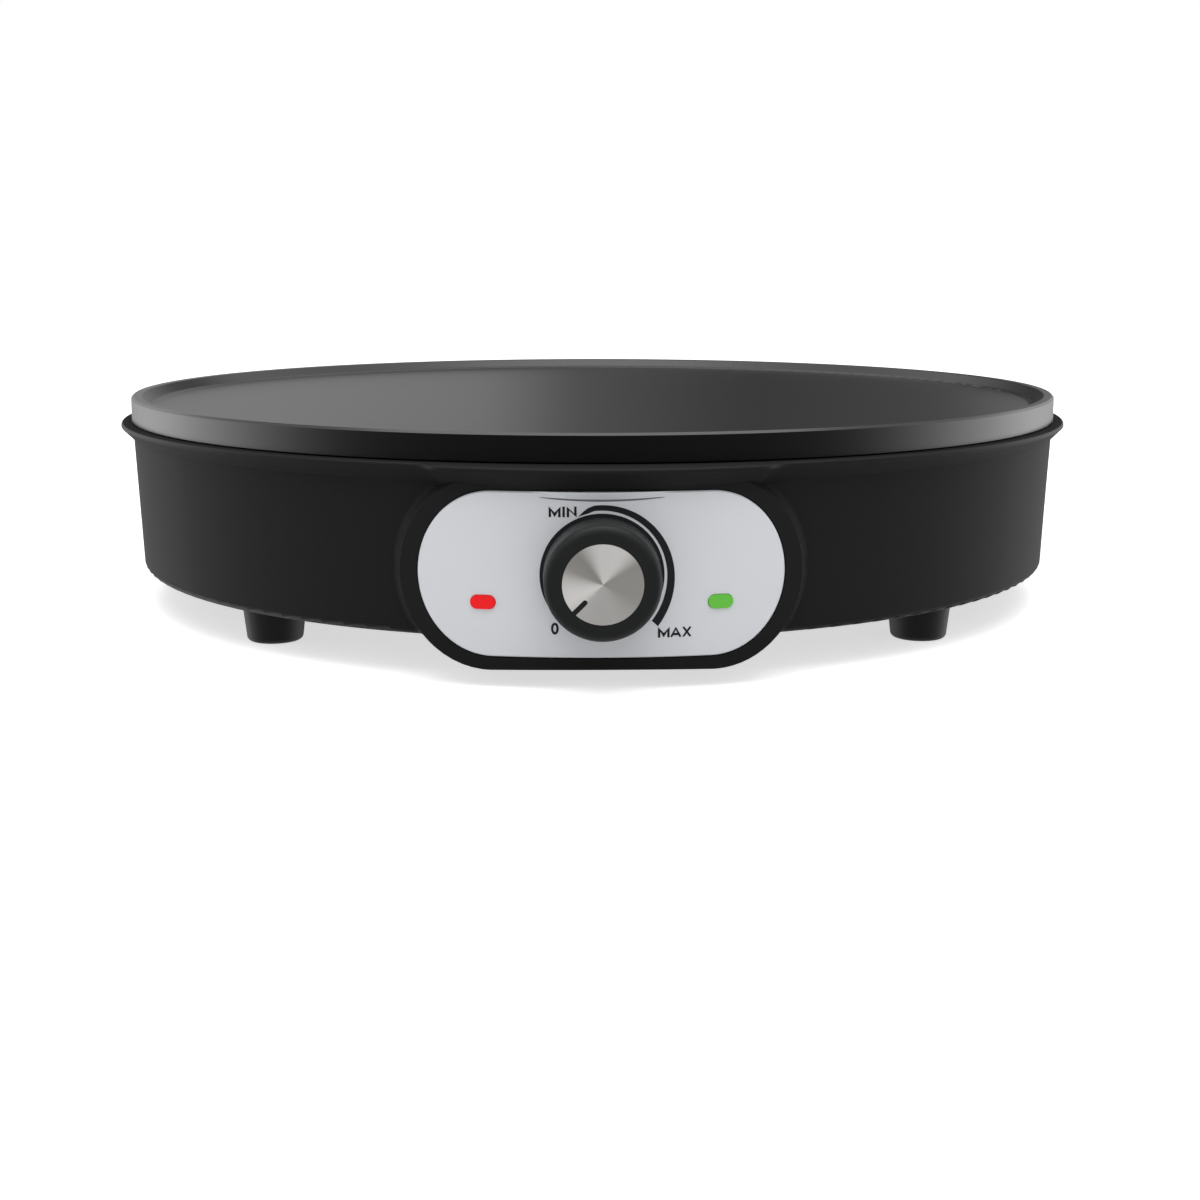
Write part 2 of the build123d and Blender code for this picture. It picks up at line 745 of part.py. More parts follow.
    # Gland hole and the edge fillets
    with Locations(front(-gland_pad_reach, gland_drop)):
        Cylinder(gland_radius + screw_gap, 4 * gland_pad_depth, mode=Mode.SUBTRACT)
    top_edges = housing.edges().filter_by_position(Axis.Z, -collar_drop - touch, -collar_drop + touch)
    outer_edges = [edge for edge in top_edges if edge.length > long_edge and (edge @ 0).length > plate_radius]
    fillet(outer_edges, collar_edge_fillet)
save(housing, "housing")

# ---- Bottom cover, feet and their screws
with BuildPart() as bottom_cover:
    with Locations(level(housing_drop)):
        Cylinder(cover_radius, cover_thickness, align=BOTTOM)
    with BuildSketch(level(cover_top_drop)):
        Circle(cover_rib_radius)
        Circle(cover_rib_radius - web_thickness, mode=Mode.SUBTRACT)
    extrude(amount=cover_rib_height)
    with BuildSketch(level(cover_top_drop)):
        with PolarLocations(foot_reach, 4, start_angle=45):
            Circle(foot_pillar_radius)
    extrude(amount=foot_pillar_height)
    with Locations(underside(housing_drop)):
        with PolarLocations(foot_reach, 4, start_angle=45):
            Hole(foot_screw_radius + screw_gap, depth=cover_thickness + foot_screw_bite + fit_gap)
        with PolarLocations(cover_screw_circle_radius, cover_screw_count):
            CounterSinkHole(
                cover_screw_radius + lamp_gap,
                cover_screw_head + lamp_gap,
                depth=cover_thickness,
                counter_sink_angle=90,
            )
    with BuildSketch(level(housing_drop)):
        for row in (vent_inner_radius, vent_outer_radius):
            with PolarLocations(row, vent_count):
                SlotOverall(vent_length, vent_width)
        with Locations((0, block_reach)):
            with Locations(*pair(block_peg_x)):
                Circle(block_peg_radius + lamp_gap)
    extrude(amount=cover_thickness, mode=Mode.SUBTRACT)
save(bottom_cover, "bottom_cover")

with BuildPart() as cover_screws:
    with Locations(underside(housing_drop)):
        with PolarLocations(cover_screw_circle_radius, cover_screw_count):
            add(countersunk_screw(cover_screw_radius, cover_thickness + cover_screw_bite, cover_screw_head))
save(cover_screws, "cover_screws")

with BuildPart() as foot:
    Cone(foot_base_radius, foot_top_radius, foot_height, align=BOTTOM)
    fillet(foot.edges().group_by(Axis.Z)[0], foot_edge_fillet)
    Cylinder(foot_bore_radius, foot_height - foot_screw_seat, align=BOTTOM, mode=Mode.SUBTRACT)
    Cylinder(foot_screw_radius + screw_gap, foot_height, align=BOTTOM, mode=Mode.SUBTRACT)

foot_names = {45: "foot_rear_right", 135: "foot_rear_left", 225: "foot_front_left", 315: "foot_front_right"}
for angle in foot_names:
    with BuildPart() as placed_foot:
        with Locations(level(floor_drop)):
            with PolarLocations(foot_reach, 1, start_angle=angle):
                add(foot.part)
    save(placed_foot, foot_names[angle])

with BuildPart() as foot_screws:
    with Locations(underside(housing_drop + foot_screw_seat)):
        with PolarLocations(foot_reach, 4, start_angle=45):
            add(pan_screw(foot_screw_radius, foot_screw_seat + cover_thickness + foot_screw_bite))
save(foot_screws, "foot_screws")

# ---- Control panel: a curved plate with a small visor, pins behind it and holes for the shaft and lamps
with BuildPart() as control_panel:
    add(curved_plate(0, seat_reach, panel_reach))
    front_rim = [
        edge for edge in control_panel.edges()
        if abs(math.hypot((edge @ 0.3).X, (edge @ 0.3).Y) - panel_reach) < touch
    ]
    chamfer(front_rim, panel_edge)
    with Locations((0, visor_curve - panel_reach - visor_out, panel_height / 2 - panel_drop)):
        Cone(visor_curve - 2 * visor_out, visor_curve, 2 * visor_height, align=TOP)
    Cylinder(seat_reach, 2 * floor_drop, mode=Mode.SUBTRACT)
    with Locations(front(pin_root_reach)):
        with GridLocations(2 * panel_pin_x, 2 * panel_pin_rise, 2, 2):
            with Locations((0, 0, panel_thickness - wall)):
                Cylinder(panel_pin_radius, panel_pin_length, align=BOTTOM)
    with Locations(front(seat_reach)):
        Cylinder(shaft_radius + 2 * fit_gap, 4 * wall, mode=Mode.SUBTRACT)
    for side in (-1, 1):
        with BuildSketch(lamp_plane(side, seat_reach)):
            SlotOverall(lamp_length + 2 * lamp_gap, lamp_height + 2 * lamp_gap)
        extrude(amount=wall, both=True, mode=Mode.SUBTRACT)
save(control_panel, "control_panel")


# ---- Lamps
def lamp_lens(side):
    """A slot-shaped lens with a cup for its bulb behind the wall."""
    with BuildPart() as lens:
        with BuildSketch(lamp_plane(side, pod_inner_reach - fit_gap)):
            SlotOverall(lamp_length, lamp_height)
        extrude(amount=panel_reach + lamp_proud - pod_inner_reach + fit_gap)
        with BuildSketch(lamp_plane(side, pod_inner_reach - fit_gap)):
            Circle(lamp_cup_radius)
        extrude(amount=-lamp_cup_length)
        with BuildSketch(lamp_plane(side, pod_inner_reach - fit_gap)):
            Circle(lamp_cup_radius - lamp_cup_wall)
        extrude(amount=-lamp_cup_length, mode=Mode.SUBTRACT)
    return lens


red_lamp_lens = lamp_lens(-1)
save(red_lamp_lens, "red_lamp_lens")
green_lamp_lens = lamp_lens(1)
save(green_lamp_lens, "green_lamp_lens")

neon_radius = lamp_cup_radius - lamp_cup_wall - fit_gap
with BuildPart() as neon_bulbs:
    for side in (-1, 1):
        with Locations(lamp_plane(side, pod_inner_reach - 2 * fit_gap)):
            Cylinder(neon_radius, neon_length, align=TOP)
    fillet(neon_bulbs.edges().filter_by(GeomType.CIRCLE).sort_by(Axis.Y)[:2], neon_tip)
save(neon_bulbs, "neon_bulbs")

# ---- Thermostat
with BuildPart() as thermostat_body:
    with Locations(front(body_rear_reach)):
        Box(thermostat_width, thermostat_height, thermostat_depth, align=BOTTOM)
        fillet(thermostat_body.edges().filter_by(Axis.Y), thermostat_fillet)
        Cylinder(capsule_radius, capsule_depth, align=TOP)
    with Locations(front(body_front_reach)):
        Cylinder(nose_radius, seat_reach - fit_gap - body_front_reach, align=BOTTOM)
        with Locations(*pair(bracket_screw_spacing / 2)):
            Cylinder(bracket_screw_radius + screw_gap, bracket_screw_bite, align=TOP, mode=Mode.SUBTRACT)
    with Locations(front(shaft_inner_reach)):
        Cylinder(shaft_radius + shaft_gap, thermostat_depth, align=BOTTOM, mode=Mode.SUBTRACT)
    with Locations(front(shaft_inner_reach - fit_gap)):
        Cylinder(shaft_flange_radius + fit_gap, shaft_flange + 2 * fit_gap, align=BOTTOM, mode=Mode.SUBTRACT)
save(thermostat_body, "thermostat_body")

with BuildPart() as thermostat_bracket:
    with BuildSketch(front(body_front_reach)):
        Rectangle(2 * bracket_pad_half, bracket_pad_height)
        Circle(nose_radius + fit_gap, mode=Mode.SUBTRACT)
        with Locations(*pair(bracket_screw_spacing / 2)):
            Circle(bracket_screw_radius + screw_gap, mode=Mode.SUBTRACT)
    extrude(amount=bracket_thickness)
    with Locations(front(body_front_reach)):
        for side in (-1, 1):
            with Locations((side * (thermostat_width / 2 + fit_gap + bracket_thickness / 2), 0)):
                Box(bracket_thickness, bracket_pad_height / 2, bracket_flap, align=TOP)
save(thermostat_bracket, "thermostat_bracket")

with BuildPart() as thermostat_screws:
    with Locations(front(bracket_head_reach)):
        with Locations(*pair(bracket_screw_spacing / 2)):
            add(countersunk_screw(bracket_screw_radius,
                                  bracket_head_reach - body_front_reach + bracket_screw_bite - fit_gap,
                                  bracket_head_radius))
save(thermostat_screws, "thermostat_screws")

with BuildPart() as thermostat_tabs:
    with Locations(front(body_rear_reach, panel_drop + capsule_radius)):
        with Locations(*pair(capsule_radius + tab_width / 2)):
            Box(tab_width, tab_thickness, tab_length, align=TOP)
save(thermostat_tabs, "thermostat_tabs")

with BuildPart() as thermostat_shaft:
    with Locations(front(shaft_inner_reach)):
        Cylinder(shaft_radius, shaft_outer_reach - shaft_inner_reach, align=BOTTOM)
        Cylinder(shaft_flange_radius, shaft_flange, align=BOTTOM)
    with Locations(front(knob_base_reach)):
        with Locations((0, 2 * shaft_radius - shaft_flat)):
            Box(2 * shaft_radius, 2 * shaft_radius, knob_length, align=BOTTOM, mode=Mode.SUBTRACT)
save(thermostat_shaft, "thermostat_shaft")

with BuildPart() as thermostat_probe:
    with Locations(front(0, probe_drop)):
        Cylinder(probe_radius, probe_length)
    with BuildLine() as capillary:
        FilletPolyline(
            (0, -probe_length / 2 + root_overlap, -probe_drop),
            (0, -capillary_rise_reach, -probe_drop),
            (0, -capillary_rise_reach, -capillary_drop),
            (0, -body_rear_reach + capsule_depth, -capillary_drop),
            radius=capillary_bend,
        )
    with BuildSketch(Plane(origin=capillary.line @ 0, z_dir=capillary.line % 0)):
        Circle(capillary_radius)
    sweep(path=capillary.wires()[0])
save(thermostat_probe, "thermostat_probe")

with BuildPart() as probe_clip:
    with Locations(level(probe_drop)):
        add(strap(probe_radius, strap_width))
save(probe_clip, "probe_clip")


# ---- Knob
def pointer_slot(grow):
    """The bar that runs in from the disc's edge at the pointer's angle."""
    with BuildSketch() as bar:
        with PolarLocations(disc_radius - pointer_length / 2 + pointer_width / 2, 1, start_angle=pointer_angle):
            SlotOverall(pointer_length + pointer_width + 2 * grow, pointer_width + 2 * grow)
    return bar.sketch


knob_inner_reach = knob_front_reach - knob_front
knob_inner_radius = knob_radius - knob_wall
with BuildPart() as knob:
    with BuildSketch(front(knob_base_reach)):
        Circle(knob_radius)
    extrude(amount=knob_length, taper=knob_draft)
    fillet(knob.edges().sort_by(Axis.Y)[0], knob_edge_fillet)
    with BuildSketch(front(knob_base_reach)):
        Circle(knob_inner_radius)
    extrude(amount=knob_length - knob_front, taper=knob_draft, mode=Mode.SUBTRACT)
    with BuildSketch(front(knob_inner_reach)):
        with PolarLocations((knob_hub_radius + knob_inner_radius) / 2, knob_rib_count, start_angle=30):
            Rectangle(knob_inner_radius - knob_hub_radius + root_overlap, knob_rib_width)
    extrude(amount=clip_width + clip_room - knob_length + knob_front)
    with BuildSketch(front(knob_inner_reach)):
        Circle(knob_hub_radius)
    extrude(amount=knob_front - knob_length)
    with BuildSketch(front(knob_base_reach)):
        Circle(shaft_radius + screw_gap)
        with Locations((0, 2 * shaft_radius - shaft_flat + screw_gap)):
            Rectangle(2 * shaft_radius, 2 * shaft_radius, mode=Mode.SUBTRACT)
    extrude(amount=knob_length - knob_front, mode=Mode.SUBTRACT)
    with BuildSketch(front(knob_front_reach)):
        Circle(disc_radius + screw_gap)
        add(pointer_slot(0), mode=Mode.SUBTRACT)
    extrude(amount=-disc_thickness, mode=Mode.SUBTRACT)
save(knob, "knob")

with BuildPart() as knob_disc:
    with BuildSketch(front(knob_front_reach)):
        Circle(disc_radius)
        add(pointer_slot(screw_gap), mode=Mode.SUBTRACT)
    extrude(amount=-disc_thickness)
save(knob_disc, "knob_disc")

with BuildPart() as knob_spring_clip:
    with BuildSketch(front(knob_base_reach + fit_gap)):
        Circle(knob_hub_radius + screw_gap + clip_thickness)
        Circle(knob_hub_radius + screw_gap, mode=Mode.SUBTRACT)
        opening = 2 * knob_hub_radius
        opening_half = opening * math.tan(math.radians(clip_opening / 2))
        with BuildLine():
            Polyline((0, 0), (opening, -opening_half), (opening, opening_half), close=True)
        make_face(mode=Mode.SUBTRACT)
    extrude(amount=clip_width)
save(knob_spring_clip, "knob_spring_clip")

# ---- Thermal fuse, under the reflector pan
fuse_drop = pan_floor_drop + sheet + fuse_radius
with BuildPart() as thermal_fuse:
    with Locations(Plane(origin=(fuse_x, fuse_y, -fuse_drop), z_dir=(0, -1, 0))):
        Cylinder(fuse_radius, fuse_length)
        Cylinder(fuse_lead_radius, fuse_length + 2 * fuse_lead_length)
save(thermal_fuse, "thermal_fuse")

with BuildPart() as fuse_clip:
    with Locations((fuse_x, fuse_y, -pan_floor_drop - sheet)):
        add(strap(fuse_radius, fuse_clip_width, fuse_radius))
save(fuse_clip, "fuse_clip")

# ---- Terminal block on the cover, near the cord gland
with BuildPart() as terminal_block:
    with Locations((0, block_reach, -cover_top_drop)):
        Box(block_length, block_depth, block_height, align=BOTTOM)
        with Locations(*pair(block_peg_x)):
            Cylinder(block_peg_radius, cover_thickness - fit_gap, align=TOP)
    with Locations(front(-block_reach, cover_top_drop - block_height / 2)):
        with GridLocations(pole_spacing, 1, 3, 1):
            Cylinder(block_bore_radius, block_depth, mode=Mode.SUBTRACT)
    with Locations((0, block_reach, -cover_top_drop + block_height)):
        with GridLocations(pole_spacing, block_screw_spacing, 3, 2):
            Cylinder(block_screw_radius + screw_gap, block_height / 2, align=TOP, mode=Mode.SUBTRACT)
save(terminal_block, "terminal_block")

with BuildPart() as terminal_block_screws:
    with Locations((0, block_reach, -cover_top_drop + block_height - block_screw_sink)):
        with GridLocations(pole_spacing, block_screw_spacing, 3, 2):
            Cylinder(block_screw_radius, block_height / 2 - block_bore_radius - block_screw_sink, align=TOP)
            Box(2 * block_screw_radius, block_slot_width, block_slot_depth, align=TOP, mode=Mode.SUBTRACT)
save(terminal_block_screws, "terminal_block_screws")

# ---- Cord gland
with BuildPart() as cord_gland:
    with Locations(front(-gland_pad_reach, gland_drop)):
        Cylinder(gland_flange_radius, gland_flange, align=TOP)
        Cylinder(gland_radius, gland_pad_reach - gland_snap_reach + gland_snap, align=BOTTOM)
    with Locations(front(-gland_snap_reach, gland_drop)):
        Cylinder(gland_snap_radius, gland_snap, align=BOTTOM)
    with Locations(front(-gland_pad_reach, gland_drop)):
        Cylinder(cord_bore_radius, 4 * gland_radius, mode=Mode.SUBTRACT)
save(cord_gland, "cord_gland")
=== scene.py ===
import math

import bpy
import numpy as np
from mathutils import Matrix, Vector


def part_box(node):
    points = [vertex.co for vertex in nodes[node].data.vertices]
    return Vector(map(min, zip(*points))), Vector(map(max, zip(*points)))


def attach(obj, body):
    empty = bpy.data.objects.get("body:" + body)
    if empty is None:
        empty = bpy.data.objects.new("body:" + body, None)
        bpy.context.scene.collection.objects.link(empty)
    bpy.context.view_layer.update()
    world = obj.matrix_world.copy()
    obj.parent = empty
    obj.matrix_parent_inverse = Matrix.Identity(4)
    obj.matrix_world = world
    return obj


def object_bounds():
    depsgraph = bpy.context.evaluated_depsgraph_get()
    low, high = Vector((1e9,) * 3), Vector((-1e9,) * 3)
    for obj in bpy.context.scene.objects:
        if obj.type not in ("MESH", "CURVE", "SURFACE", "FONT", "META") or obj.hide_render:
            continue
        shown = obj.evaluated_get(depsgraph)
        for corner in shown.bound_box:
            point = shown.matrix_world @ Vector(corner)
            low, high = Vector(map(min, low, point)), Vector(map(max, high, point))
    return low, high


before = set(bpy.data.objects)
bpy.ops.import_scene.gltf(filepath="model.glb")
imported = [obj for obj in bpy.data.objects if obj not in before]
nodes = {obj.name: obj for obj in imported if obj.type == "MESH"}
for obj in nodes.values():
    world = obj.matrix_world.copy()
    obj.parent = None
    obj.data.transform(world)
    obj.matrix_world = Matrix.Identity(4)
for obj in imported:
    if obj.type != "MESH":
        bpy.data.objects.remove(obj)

# Electric crepe maker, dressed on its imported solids.
# Metres: +Z is up, the cooking surface is at z = 0 and the control panel faces -Y.
MM = 0.001
cad_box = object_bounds()
scene = bpy.context.scene


# ---- Helpers
def linear(code):
    """The linear red, green, blue and alpha of an sRGB hex code."""
    srgb = np.array([int(code[k:k + 2], 16) for k in (1, 3, 5)]) / 255
    light = np.where(srgb <= 0.04045, srgb / 12.92, ((srgb + 0.055) / 1.055) ** 2.4)
    return (*light.tolist(), 1.0)


def add_node(tree, kind, links=None, values=None, **settings):
    """Adds a shader node. links maps its inputs to other nodes' outputs, values to what they are set to."""
    made = tree.nodes.new(kind)
    for key, value in settings.items():
        setattr(made, key, value)
    for socket, value in (values or {}).items():
        made.inputs[socket].default_value = value
    for socket, source in (links or {}).items():
        tree.links.new(source, made.inputs[socket])
    return made


def span(low, high, start, end):
    """The values of a Map Range node that goes from start at low to end at high."""
    return {"From Min": low, "From Max": high, "To Min": start, "To Max": end}


def new_material(name, colour, roughness, metallic=0.0, **sockets):
    """A material with one Principled shader. Returns the material, its tree and the shader."""
    made = bpy.data.materials.new(name)
    made.use_nodes = True
    tree = made.node_tree
    shader = tree.nodes["Principled BSDF"]
    shader.inputs["Base Color"].default_value = linear(colour)
    shader.inputs["Roughness"].default_value = roughness
    shader.inputs["Metallic"].default_value = metallic
    for socket, value in sockets.items():
        shader.inputs[socket.replace("_", " ")].default_value = value
    return made, tree, shader


def empty_material(name):
    """A stage material without a shader. Returns the material and its tree."""
    made = bpy.data.materials.new(name)
    made.use_nodes = True
    made.node_tree.nodes.clear()
    return made, made.node_tree


def raise_bumps(tree, shader, height, strength, depth_mm):
    """Turns a height of 0 to 1 into bumps of this depth on the shader."""
    values = {"Strength": strength, "Distance": depth_mm * MM}
    bump = add_node(tree, "ShaderNodeBump", {"Height": height}, values)
    tree.links.new(bump.outputs["Normal"], shader.inputs["Normal"])


def grain(tree, shader, size_mm, depth_mm):
    """A fine bumpy grain, size_mm from bump to bump and depth_mm deep. Returns its Object coordinates."""
    place = add_node(tree, "ShaderNodeTexCoord").outputs["Object"]
    values = {"Scale": 1 / (size_mm * MM), "Detail": 2.0}
    noise = add_node(tree, "ShaderNodeTexNoise", {"Vector": place}, values)
    raise_bumps(tree, shader, noise.outputs["Fac"], 1.0, depth_mm)
    return place


def dress(material, *names):
    """Gives the named CAD nodes this material."""
    for name in names:
        nodes[name].data.materials.clear()
        nodes[name].data.materials.append(material)


def mesh_object(name, points, faces, material):
    """An object at the origin from an array of points and a list of faces."""
    mesh = bpy.data.meshes.new(name)
    mesh.from_pydata(points.tolist(), [], faces)
    mesh.materials.append(material)
    mesh.update()
    made = bpy.data.objects.new(name, mesh)
    scene.collection.objects.link(made)
    return made


def surface(name, points, faces, material, body):
    """A new piece from an array of points and a list of faces, on a body and with this material."""
    piece = mesh_object(name, points, faces, material)
    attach(piece, body)
    return piece


def band_faces(first, second, count):
    """The faces between two rows of count points, whose first points have these numbers."""
    return [(first + k, first + k + 1, second + k + 1, second + k) for k in range(count - 1)]


# ---- Finishes
def nonstick_coating():
    """Charcoal non-stick coating, sprayed on cast aluminium: satin, with a fine speckle."""
    made, tree, shader = new_material("nonstick_coating", "#0A0A0B", 0.28, Specular_IOR_Level=0.5)
    grain(tree, shader, 0.9, 0.006)
    return made


def moulded_black_plastic(foot, collar):
    """Black heat-resistant plastic: a dull satin wall with smoother edges at its foot and its collar.

    foot and collar are the heights of those edges. Faces that look up are left matte, so they stay dark."""
    satin, polished = 0.6, 0.4
    foot_fade_start, foot_fade_end, collar_fade = 1.2 * MM, 2.4 * MM, 1.2 * MM
    matte_from, matte_to = 0.8, 0.95
    made, tree, shader = new_material("moulded_black_plastic", "#1F1F20", satin, Specular_IOR_Level=0.065)
    place = grain(tree, shader, 0.7, 0.004)
    height = add_node(tree, "ShaderNodeSeparateXYZ", {0: place}).outputs["Z"]
    above_foot = add_node(tree, "ShaderNodeMapRange", {"Value": height},
                          span(foot + foot_fade_start, foot + foot_fade_end, polished, satin))
    below_collar = add_node(tree, "ShaderNodeMapRange", {"Value": height},
                            span(collar - collar_fade, collar, satin, polished))
    smoother = add_node(tree, "ShaderNodeMath",
                        {0: above_foot.outputs["Result"], 1: below_collar.outputs["Result"]},
                        operation="MINIMUM")
    facing = add_node(tree, "ShaderNodeNewGeometry").outputs["Normal"]
    upward = add_node(tree, "ShaderNodeSeparateXYZ", {0: facing}).outputs["Z"]
    matte = add_node(tree, "ShaderNodeMapRange", {"Value": upward}, span(matte_from, matte_to, 0.0, 1.0))
    dull = add_node(tree, "ShaderNodeMath",
                    {0: smoother.outputs[0], 1: matte.outputs["Result"]}, operation="MAXIMUM")
    tree.links.new(dull.outputs[0], shader.inputs["Roughness"])
    return made


def base_plastic():
    """The same plastic with a coarser, dull grain, for the underside."""
    made, tree, shader = new_material("base_plastic", "#151516", 0.55, Specular_IOR_Level=0.3)
    grain(tree, shader, 0.9, 0.01)
    return made


def foot_rubber():
    """Black moulded rubber: dull and even."""
    made, tree, shader = new_material("foot_rubber", "#141414", 0.6, Specular_IOR_Level=0.3)
    grain(tree, shader, 0.8, 0.01)
    return made


def panel_paint():
    """Silver-grey satin paint on the panel: smooth, pale and almost without sparkle."""
    return new_material("panel_paint", "#DBDDE1", 0.38, Specular_IOR_Level=0.35)[0]


def knob_plastic():
    """Dark grey moulded plastic with a soft sheen, on the turning knob."""
    made, tree, shader = new_material("knob_plastic", "#222323", 0.42, Specular_IOR_Level=0.13)
    grain(tree, shader, 0.6, 0.004)
    return made


def spun_steel(name, centre):
    """Steel turned on a lathe: fine rings about the Y axis through centre, with fans of light and dark
    painted into its colour as painted reflections.
    """
    dark, light = "#A6A39F", "#FFFDFA"
    made, tree, shader = new_material(name, dark, 0.36, metallic=0.5, Anisotropic=0.8)
    place = add_node(tree, "ShaderNodeTexCoord").outputs["Object"]
    offset = add_node(tree, "ShaderNodeVectorMath", {0: place}, {1: centre}, operation="SUBTRACT")
    around = add_node(tree, "ShaderNodeVectorMath", {0: offset.outputs["Vector"]}, {1: (0, 1, 0)},
                      operation="CROSS_PRODUCT")
    along = add_node(tree, "ShaderNodeVectorMath", {0: around.outputs["Vector"]}, operation="NORMALIZE")
    tree.links.new(along.outputs["Vector"], shader.inputs["Tangent"])
    sides = add_node(tree, "ShaderNodeSeparateXYZ", {0: offset.outputs["Vector"]})
    clock = add_node(tree, "ShaderNodeMath", {0: sides.outputs["X"], 1: sides.outputs["Z"]},
                     operation="ARCTAN2")
    # Each painted reflection fan has its middle and half width, in degrees clockwise from the top, and its
    # gain.
    painted_reflection_fans = None
    for middle, half_width, gain in ((11, 52, 1.0), (-103, 40, 0.53), (-165, 90, 0.5)):
        turn = add_node(tree, "ShaderNodeMath", {0: clock.outputs[0]}, {1: math.radians(middle)},
                        operation="SUBTRACT")
        wave = add_node(tree, "ShaderNodeMath", {0: turn.outputs[0]}, operation="COSINE")
        painted_reflection_fan = add_node(tree, "ShaderNodeMapRange", {"Value": wave.outputs[0]},
                       span(math.cos(math.radians(half_width)), 1.0, 0.0, gain),
                       interpolation_type="SMOOTHSTEP")
        if painted_reflection_fans is None:
            painted_reflection_fans = painted_reflection_fan.outputs["Result"]
        else:
            both = add_node(tree, "ShaderNodeMath", {0: painted_reflection_fans, 1: painted_reflection_fan.outputs["Result"]}, operation="ADD")
            painted_reflection_fans = both.outputs[0]
    # A colour mix numbers its two colours 6 and 7, and its result 2.
    # Painted reflection: the fans blend the base colour from dark to light by the clock angle about the
    # disc's centre.
    colour = add_node(tree, "ShaderNodeMix", {"Factor": painted_reflection_fans}, {6: linear(dark), 7: linear(light)},
                      data_type="RGBA")
    tree.links.new(colour.outputs[2], shader.inputs["Base Color"])
    ring_pitch = 0.35 * MM
    reach = add_node(tree, "ShaderNodeVectorMath", {0: around.outputs["Vector"]}, operation="LENGTH")
    rings = add_node(tree, "ShaderNodeTexNoise", {"W": reach.outputs["Value"]},
                     {"Scale": 1 / ring_pitch, "Detail": 3.0}, noise_dimensions="1D")
    raise_bumps(tree, shader, rings.outputs["Fac"], 0.4, 0.01)
    return made


def plain_metal(name, tone, roughness):
    """Bright metal without a pattern, for screws, clips and sheet."""
    return new_material(name, tone, roughness, metallic=1.0)[0]


def lens_plastic(name, tone):
    """Coloured moulded lens: glossy and evenly saturated."""
    return new_material(name, tone, 0.22, Specular_IOR_Level=0.35)[0]


def bulb_glass():
    """Thin clear glass."""
    return new_material("bulb_glass", "#F4EEE6", 0.05, Transmission_Weight=0.9)[0]


housing_low, housing_high = (Vector(corner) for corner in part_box("housing"))
foot_edge = housing_low.z + 6.5 * MM
collar_edge = housing_high.z - 0.6 * MM
disc_low, disc_high = (Vector(corner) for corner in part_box("knob_disc"))
disc_centre = (disc_low + disc_high) / 2

dress(nonstick_coating(), "cooking_plate")
dress(moulded_black_plastic(foot_edge, collar_edge), "housing", "cord_gland")
dress(base_plastic(), "bottom_cover")
dress(foot_rubber(), "foot_front_left", "foot_front_right", "foot_rear_left", "foot_rear_right")
dress(panel_paint(), "control_panel")
dress(knob_plastic(), "knob")
dress(spun_steel("spun_steel", disc_centre), "knob_disc")
dress(lens_plastic("red_lens", "#FF1A20"), "red_lamp_lens")
dress(lens_plastic("green_lens", "#6CC948"), "green_lamp_lens")
dress(bulb_glass(), "neon_bulbs")
# Zinc-plated steel: a pale grey, soft shine.
dress(plain_metal("zinc_plate", "#B4B4B0", 0.35), "foot_screws", "cover_screws", "thermostat_shaft",
      "thermostat_bracket", "thermostat_screws", "element_terminals", "element_clamps", "clamp_screws",
      "plate_screws", "pan_screws")
# Rolled spring steel: darker, with a sharper shine.
dress(plain_metal("spring_steel", "#9A9A9C", 0.3), "knob_spring_clip", "probe_clip", "fuse_clip")
# Steel tube stained brown by its heat.
dress(plain_metal("heat_stained_steel", "#8A7C6C", 0.4), "heating_element")
# Aluminium sheet as the mill rolls it: bright and even.
dress(plain_metal("mill_sheet", "#C4C5C7", 0.38), "reflector_pan")
# Bare drawn copper: a warm, reddish shine.
dress(plain_metal("bare_copper", "#C98A62", 0.35), "thermostat_probe")
# Bare brass: a yellow shine.
dress(plain_metal("bare_brass", "#C8B070", 0.35), "thermal_fuse", "terminal_block_screws", "thermostat_tabs")
# Unglazed ceramic: chalky cream.
dress(new_material("ceramic", "#DAD5C8", 0.7)[0], "ceramic_bushes", "ceramic_washers")
# Moulded phenolic: brown and half matte.
dress(new_material("brown_phenolic", "#6B5A45", 0.45)[0], "thermostat_body")
# Moulded off-white plastic: half matte.
dress(new_material("block_plastic", "#DAD7CE", 0.5)[0], "terminal_block")

# ---- Dial print and painted shade, laid on the curved panel
panel_low, panel_high = (Vector(corner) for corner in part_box("control_panel"))
dial_height = (panel_low.z + panel_high.z) / 2
panel_reach = 165.0 * MM    # radius of the panel's curved front
print_lift = 0.06 * MM
pen = 0.64 * MM             # stroke of the printed words
capital = 2.9 * MM
figure = 3.3 * MM           # height of the figure 0
figure_width = 2.1 * MM
wide, narrow, thin = 2.55 * MM, 2.0 * MM, 0.1 * MM
# The dark ink prints the dial and also paints the shade ring round the knob's foot.
dial_ink_and_shade = new_material("dial_ink_and_shade", "#1B1D1F", 0.5, Specular_IOR_Level=0.3)[0]
# Painted shadow: this mid grey stands in for the shade under the visor's edge.
painted_visor_shadow = new_material("painted_visor_shadow", "#6E7074", 0.6, Specular_IOR_Level=0.2)[0]


def on_panel(across, up):
    """Flat print laid on the panel: across and up are measured from the knob's axis.

    A point keeps its x and its height, and y = -sqrt(r^2 - x^2), with r the panel's radius and the lift."""
    reach = panel_reach + print_lift
    return np.stack([across, -np.sqrt(reach**2 - across**2), up + dial_height], axis=-1)


